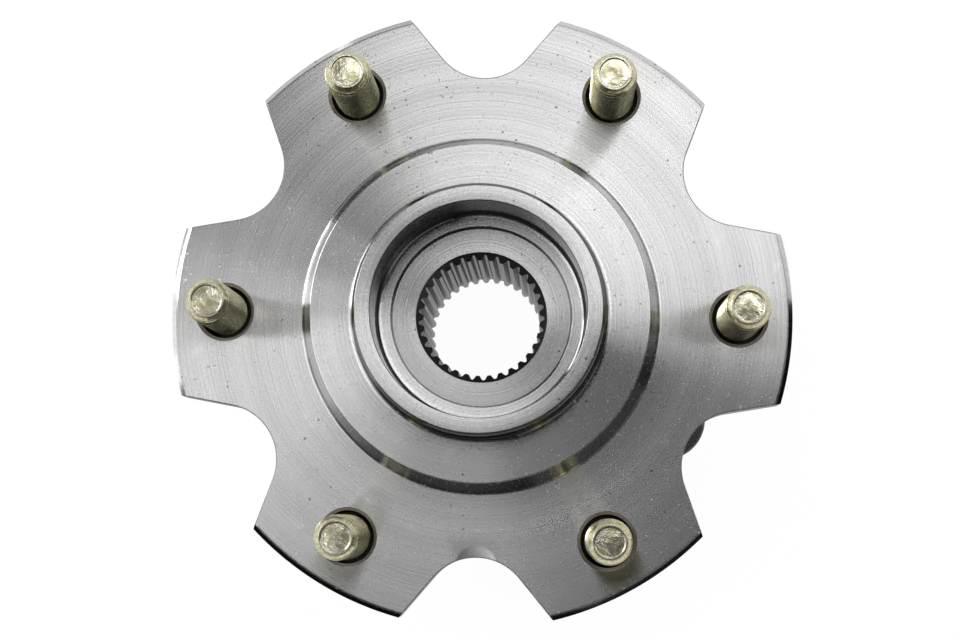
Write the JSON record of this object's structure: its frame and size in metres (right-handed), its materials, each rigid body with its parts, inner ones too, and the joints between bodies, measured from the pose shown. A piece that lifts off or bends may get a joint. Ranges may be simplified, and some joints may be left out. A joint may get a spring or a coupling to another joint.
{
  "type": "wheel hub",
  "caption": "Front wheel hub unit: notched wheel flange with studs and splined bore, turning on tapered rollers in an eared outer ring.",
  "frame": {"origin": "on the spin axis, in the outboard face of the wheel flange", "axes": "+Z along the spin axis, outboard, the way the studs point; +X through the first stud"},
  "size_m": [0.1688, 0.1636, 0.093],
  "materials": {
    "hub_steel": "turned, satin",
    "stud_zinc": "yellow zinc plated",
    "ring_steel": "forged, dark, with turned faces",
    "race_steel": "ground",
    "roller_steel": "polished",
    "clip_steel": "spring steel",
    "cage_plastic": "moulded, glass filled",
    "seal_steel": "pressed sheet",
    "seal_rubber": "matt",
    "encoder_rubber": "matt, ferrite filled"
  },
  "bodies": {
    "carrier": {"outer_ring": "ring_steel", "outboard_seal_case": "seal_steel", "outboard_seal_lip": "seal_rubber", "inboard_seal_case": "seal_steel", "inboard_seal_lip": "seal_rubber"},
    "hub": {"hub_flange": "hub_steel", "wheel_stud_1": "stud_zinc", "wheel_stud_2": "stud_zinc", "wheel_stud_3": "stud_zinc", "wheel_stud_4": "stud_zinc", "wheel_stud_5": "stud_zinc", "wheel_stud_6": "stud_zinc", "outboard_inner_ring": "race_steel", "inboard_inner_ring": "race_steel", "inner_ring_clip": "clip_steel", "inboard_slinger": "seal_steel", "encoder_ring": "encoder_rubber"},
    "outboard_row": {"outboard_cage": "cage_plastic", "outboard_rollers": "roller_steel"},
    "inboard_row": {"inboard_cage": "cage_plastic", "inboard_rollers": "roller_steel"}
  },
  "joints": [
    {"name": "hub_spin", "type": "hinge", "parent": "carrier", "child": "hub", "pos_m": [0, 0, -0.038], "axis": [0, 0, 1], "continuous": true},
    {"name": "outboard_cage_spin", "type": "hinge", "parent": "carrier", "child": "outboard_row", "pos_m": [0, 0, -0.0287], "axis": [0, 0, 1], "continuous": true},
    {"name": "inboard_cage_spin", "type": "hinge", "parent": "carrier", "child": "inboard_row", "pos_m": [0, 0, -0.0473], "axis": [0, 0, 1], "continuous": true}
  ],
  "couplings": [
    {"joint": "outboard_cage_spin", "follows": "hub_spin", "ratio": 0.4351},
    {"joint": "inboard_cage_spin", "follows": "hub_spin", "ratio": 0.4351}
  ]
}
